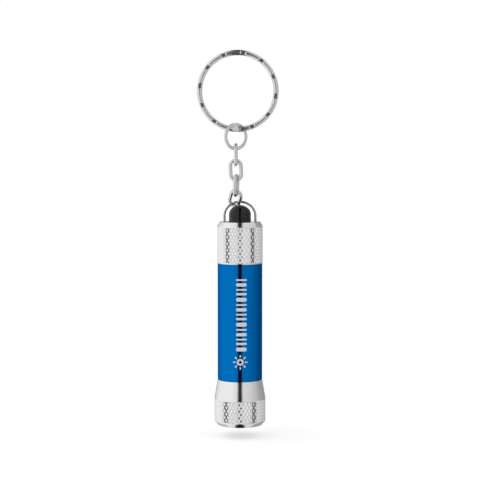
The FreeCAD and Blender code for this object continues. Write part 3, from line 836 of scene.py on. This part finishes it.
def ring_of_ink(centre, inner, outer):
    """Grids of a flat ring, as two halves."""
    steps = 24
    halves = []
    for start in (0.0, math.pi):
        grid = []
        for step in range(steps + 1):
            angle = start + math.pi * step / steps
            way = Vector((math.cos(angle), math.sin(angle)))
            grid.append([tuple(centre + way * radius) for radius in (inner, (inner + outer) / 2, outer)])
        halves.append(grid)
    return halves


def barrel_mark():
    """A plain pattern: a column of uneven bars and a small sun below it."""
    top = BARREL_HIGH.z - MARK_TOP
    grids = []
    for height in MARK_BARS:
        grids.append(stroke(Vector((MARK_CENTRE, top - height / 2)), Vector((1, 0)), MARK_WIDTH, height))
        top -= height + MARK_GAP
    sun = Vector((MARK_CENTRE + SUN_SHIFT, BARREL_HIGH.z - SUN_BELOW_TOP))
    grids += ring_of_ink(sun, *SUN_DISC)
    for index in range(SUN_RAYS):
        angle = TURN * index / SUN_RAYS
        way = Vector((math.cos(angle), math.sin(angle)))
        grids.append(stroke(sun + way * RAY_REACH, way, RAY_LENGTH, RAY_WIDTH))
    points, faces = [], []
    for grid in grids:
        patch_points, patch_faces = printed_patch(grid)
        shift = len(points)
        points += patch_points
        faces += [tuple(shift + corner for corner in face) for face in patch_faces]
    new_piece("barrel_mark", points, faces, "barrel", "blue_anodised", surface="printed_mark")


# ---------------------------------------------------------------- studio

# gap between the torch and the floor, and half the floor's width
HOVER = 3.7 * MM
FLOOR_HALF = 3.0
# how far the front light boxes reach past straight up and straight down
OVERHANG = 0.4
# brightness of the studio by angle round from the front: minus is left, plus is right
WALLS = [
    (-180, 0.38), (-150, 0.62), (-135, 0.8), (-105, 0.95), (-40, 0.95), (-14, 0.82), (-11.5, 0.76),
    (-8.0, 0.012), (9.0, 0.012), (11.0, 0.74), (30, 0.76), (50, 0.69), (72, 0.58), (98, 0.42),
    (132, 0.34), (180, 0.38),
]


def sky():
    """Light boxes at both sides that reach overhead, with a dark gap in front; white to the eye."""
    world = bpy.data.worlds.new("studio")
    scene.world = world
    world.use_nodes = True
    tree = world.node_tree
    tree.nodes.clear()

    def node(kind, inputs=(), **settings):
        return add_node(tree, kind, inputs, settings)

    way = node("ShaderNodeTexCoord").outputs["Generated"]
    parts = node("ShaderNodeSeparateXYZ", {0: way}).outputs
    upright = node("ShaderNodeCombineXYZ", {"Y": parts["Y"], "Z": parts["Z"]})
    reach = node("ShaderNodeVectorMath", {0: upright.outputs[0]}, operation="LENGTH")
    steepness = node("ShaderNodeMath", {0: parts["Z"]}, operation="ABSOLUTE")
    overhang = node("ShaderNodeMath", {0: steepness.outputs[0], 1: OVERHANG}, operation="MULTIPLY")
    past = node("ShaderNodeMath", {0: parts["Y"], 1: overhang.outputs[0]}, operation="SUBTRACT")
    facing = node("ShaderNodeMath", {0: past.outputs[0]}, operation="SIGN")
    ahead = node("ShaderNodeMath", {0: reach.outputs["Value"], 1: facing.outputs[0]}, operation="MULTIPLY")
    ahead = node("ShaderNodeMath", {0: ahead.outputs[0], 1: -1.0}, operation="MULTIPLY")
    compass = node("ShaderNodeMath", {0: parts["X"], 1: ahead.outputs[0]}, operation="ARCTAN2")
    whole_turn = {"Value": compass.outputs[0], "From Min": -math.pi, "From Max": math.pi}
    share = node("ShaderNodeMapRange", whole_turn)
    ramp = node("ShaderNodeValToRGB", {"Fac": share.outputs["Result"]})
    stops = ramp.color_ramp.elements
    stops[0].position, stops[1].position = 0.0, 1.0
    for angle, level in WALLS:
        place = (angle + 180) / 360
        stop = stops[0] if angle == -180 else stops[-1] if angle == 180 else stops.new(place)
        stop.color = (level, level, level, 1)
    lit = node("ShaderNodeBackground", {"Color": ramp.outputs["Color"]})
    seen = node("ShaderNodeBackground", {"Color": (1, 1, 1, 1)})
    eye = node("ShaderNodeLightPath").outputs["Is Camera Ray"]
    both = node("ShaderNodeMixShader", {0: eye, 1: lit.outputs[0], 2: seen.outputs[0]})
    node("ShaderNodeOutputWorld", {"Surface": both.outputs[0]})


def floor():
    """Wide pale floor just under the torch, left out of the metal's reflections."""
    level = cad_box[0].z - HOVER
    corners = [(FLOOR_HALF * x, FLOOR_HALF * y, level) for x, y in ((-1, -1), (1, -1), (1, 1), (-1, 1))]
    mesh = bpy.data.meshes.new("floor")
    mesh.from_pydata(corners, [], [(0, 1, 2, 3)])
    paper = Surface("floor_paper", Emission_Color=(1, 1, 1, 1), Emission_Strength=0.5)
    paper.color(paper.noise(0.02), (0.93, 0.93, 0.93), (0.95, 0.95, 0.95))
    paper.roughness(paper.noise(0.05), 0.8, 0.9)
    mesh.materials.append(paper.material)
    ground = bpy.data.objects.new("floor", mesh)
    scene.collection.objects.link(ground)
    ground.visible_glossy = False


def camera():
    """In front, level with the bail and looking slightly down."""
    middle = Vector((0.68, 0.0, -45.65)) * MM
    data = bpy.data.cameras.new("camera")
    data.lens = 105
    data.sensor_width = 36
    data.clip_start = 0.05
    data.clip_end = 50
    item = bpy.data.objects.new("camera", data)
    item.location = Vector((0.68, -430.0, -19.0)) * MM
    item.rotation_mode = "QUATERNION"
    item.rotation_quaternion = (middle - item.location).to_track_quat("-Z", "Y")
    scene.collection.objects.link(item)
    scene.camera = item


split_ring()
jump_ring()
for link in LINK_TURNS:
    chain_link(link)
bail()
tail_cap()
push_button()
barrel()
barrel_mark()
head()
reflector()
window()
retainer()
lamp()

for part in frame["record"]["subparts"]:
    node = frame["nodes"][part["node"]]
    for holder in node.material_slots:
        holder.link = "OBJECT"
        holder.material = SURFACES[part["material_slot"]].material

sky()
floor()
camera()
scene.view_settings.view_transform = "Standard"
